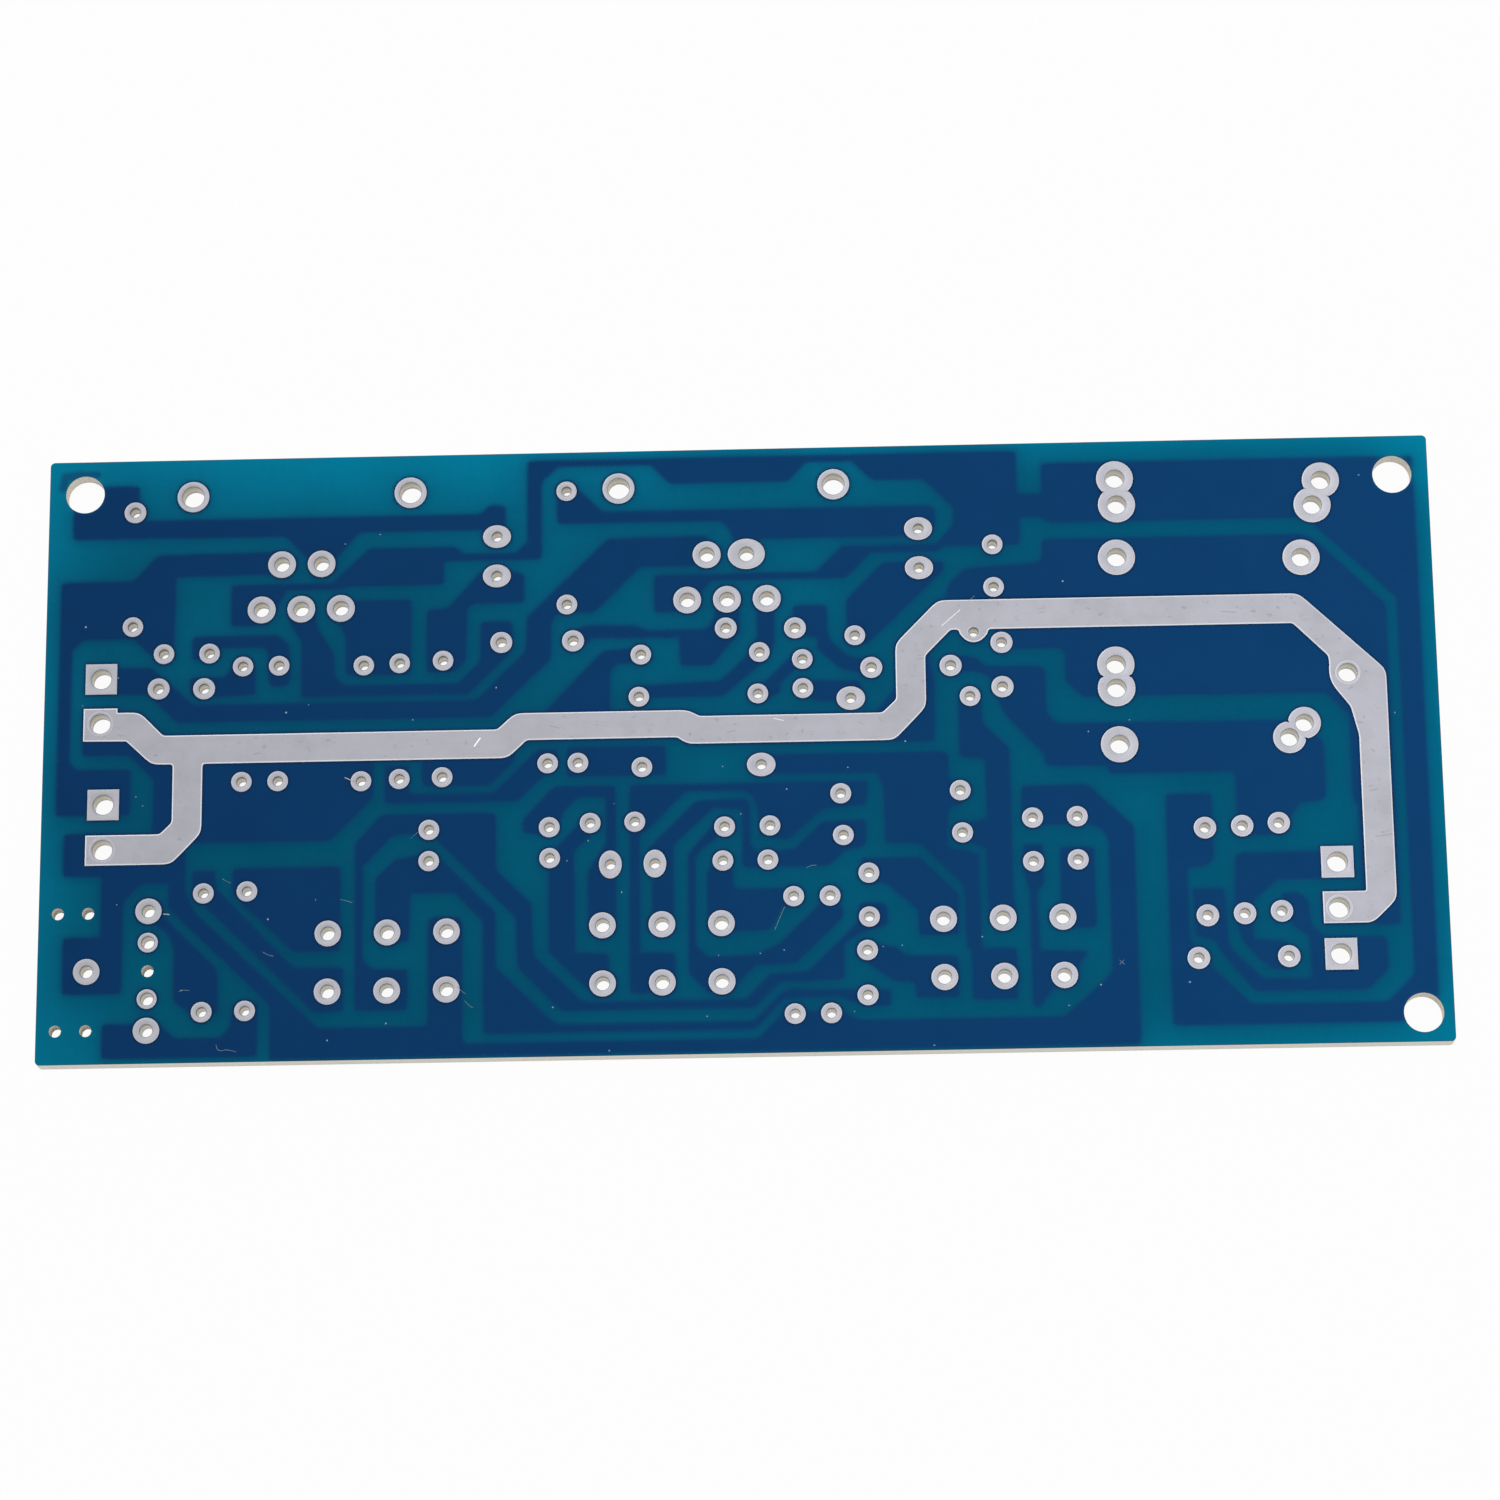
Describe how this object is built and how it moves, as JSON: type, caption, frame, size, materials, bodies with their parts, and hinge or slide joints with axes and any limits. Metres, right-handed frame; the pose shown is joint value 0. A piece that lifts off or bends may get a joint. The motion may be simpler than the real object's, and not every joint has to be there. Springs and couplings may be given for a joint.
{
  "type": "bare audio amplifier circuit board",
  "caption": "Bare stereo amplifier circuit board, solder side up, with etched copper, a tinned ground bus and drilled lands.",
  "frame": {"origin": "middle of the board's underside", "axes": "+X along the board's length towards the supply terminals, +Y across it towards the amplifier edge, +Z out of the solder side"},
  "size_m": [0.1186, 0.0532, 0.0018],
  "materials": {
    "laminate": "glass fibre laminate under blue solder mask, cream at the sawn edges",
    "masked_copper": "copper foil under blue solder mask, tinned round every hole",
    "solder": "dull levelled solder"
  },
  "bodies": {
    "root": {"bus_tin": "solder", "copper_bass_a": "masked_copper", "copper_bass_b": "masked_copper", "copper_bass_lower": "masked_copper", "copper_bass_upper": "masked_copper", "copper_feedback_a": "masked_copper", "copper_feedback_b": "masked_copper", "copper_gain_leg_a": "masked_copper", "copper_gain_leg_b": "masked_copper", "copper_ground": "masked_copper", "copper_input_a": "masked_copper", "copper_input_b": "masked_copper", "copper_input_link_a": "masked_copper", "copper_input_link_b": "masked_copper", "copper_jack_ring": "masked_copper", "copper_jack_tip": "masked_copper", "copper_mid_high_lower": "masked_copper", "copper_mid_high_upper": "masked_copper", "copper_mid_wiper_lower": "masked_copper", "copper_mid_wiper_upper": "masked_copper", "copper_mute_link": "masked_copper", "copper_negative_feed_a": "masked_copper", "copper_negative_feed_b": "masked_copper", "copper_output_a": "masked_copper", "copper_output_b": "masked_copper", "copper_rail_negative": "masked_copper", "copper_rail_positive": "masked_copper", "copper_spare_1": "masked_copper", "copper_spare_2": "masked_copper", "copper_supply_lower": "masked_copper", "copper_supply_upper": "masked_copper", "copper_support_1": "masked_copper", "copper_support_2": "masked_copper", "copper_support_3": "masked_copper", "copper_support_4": "masked_copper", "copper_treble_high_left": "masked_copper", "copper_treble_high_right": "masked_copper", "copper_treble_low_left": "masked_copper", "copper_treble_low_right": "masked_copper", "copper_treble_wiper_high": "masked_copper", "copper_treble_wiper_low": "masked_copper", "copper_volume_high": "masked_copper", "copper_volume_low": "masked_copper", "copper_wiper_high": "masked_copper", "copper_wiper_low": "masked_copper", "copper_zobel_a": "masked_copper", "copper_zobel_b": "masked_copper", "laminate": "laminate"}
  },
  "joints": []
}
